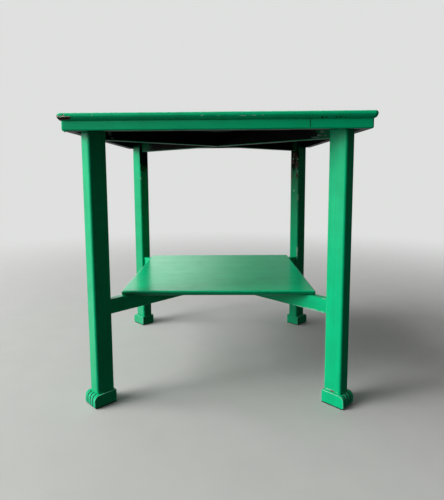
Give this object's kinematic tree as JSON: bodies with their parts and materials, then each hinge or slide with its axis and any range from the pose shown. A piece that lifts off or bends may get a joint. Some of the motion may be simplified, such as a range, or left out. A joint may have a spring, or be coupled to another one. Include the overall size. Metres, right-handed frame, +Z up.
{
  "type": "side table",
  "caption": "Square painted wooden side table: round-nosed top, legs and crossed rails on the diagonals, reeded block feet and a low shelf.",
  "frame": {"origin": "on the floor, under the middle of the top", "axes": "+Z up; -Y is the front, the side whose fascia has a butt joint; +X is to the right as seen from the front"},
  "size_m": [0.727, 0.727, 0.72],
  "materials": {
    "green_gloss": "hand-brushed emerald green gloss paint on wood, chipped at corners to brown wood",
    "dark_stain": "old black-brown stain, unpainted, with green brush-over at the ends",
    "bare_wood": "bare glued wood",
    "steel": "dull steel"
  },
  "bodies": {
    "root": {"fascia_back": "green_gloss", "fascia_front_long": "green_gloss", "fascia_front_short": "green_gloss", "fascia_left": "green_gloss", "fascia_pins": "steel", "fascia_right": "green_gloss", "foot_back_left": "green_gloss", "foot_back_right": "green_gloss", "foot_dowels": "bare_wood", "foot_front_left": "green_gloss", "foot_front_right": "green_gloss", "leg_back_left": "green_gloss", "leg_back_right": "green_gloss", "leg_front_left": "green_gloss", "leg_front_right": "green_gloss", "lower_rail_front_left_to_back_right": "green_gloss", "lower_rail_front_right_to_back_left": "green_gloss", "shelf": "green_gloss", "shelf_screws": "steel", "top_board_1": "green_gloss", "top_board_2": "green_gloss", "top_board_3": "green_gloss", "top_board_4": "green_gloss", "top_board_5": "green_gloss", "top_rail_front_left_to_back_right": "dark_stain", "top_rail_front_right_to_back_left": "dark_stain", "top_screws": "steel", "top_tongues": "bare_wood"}
  },
  "joints": []
}
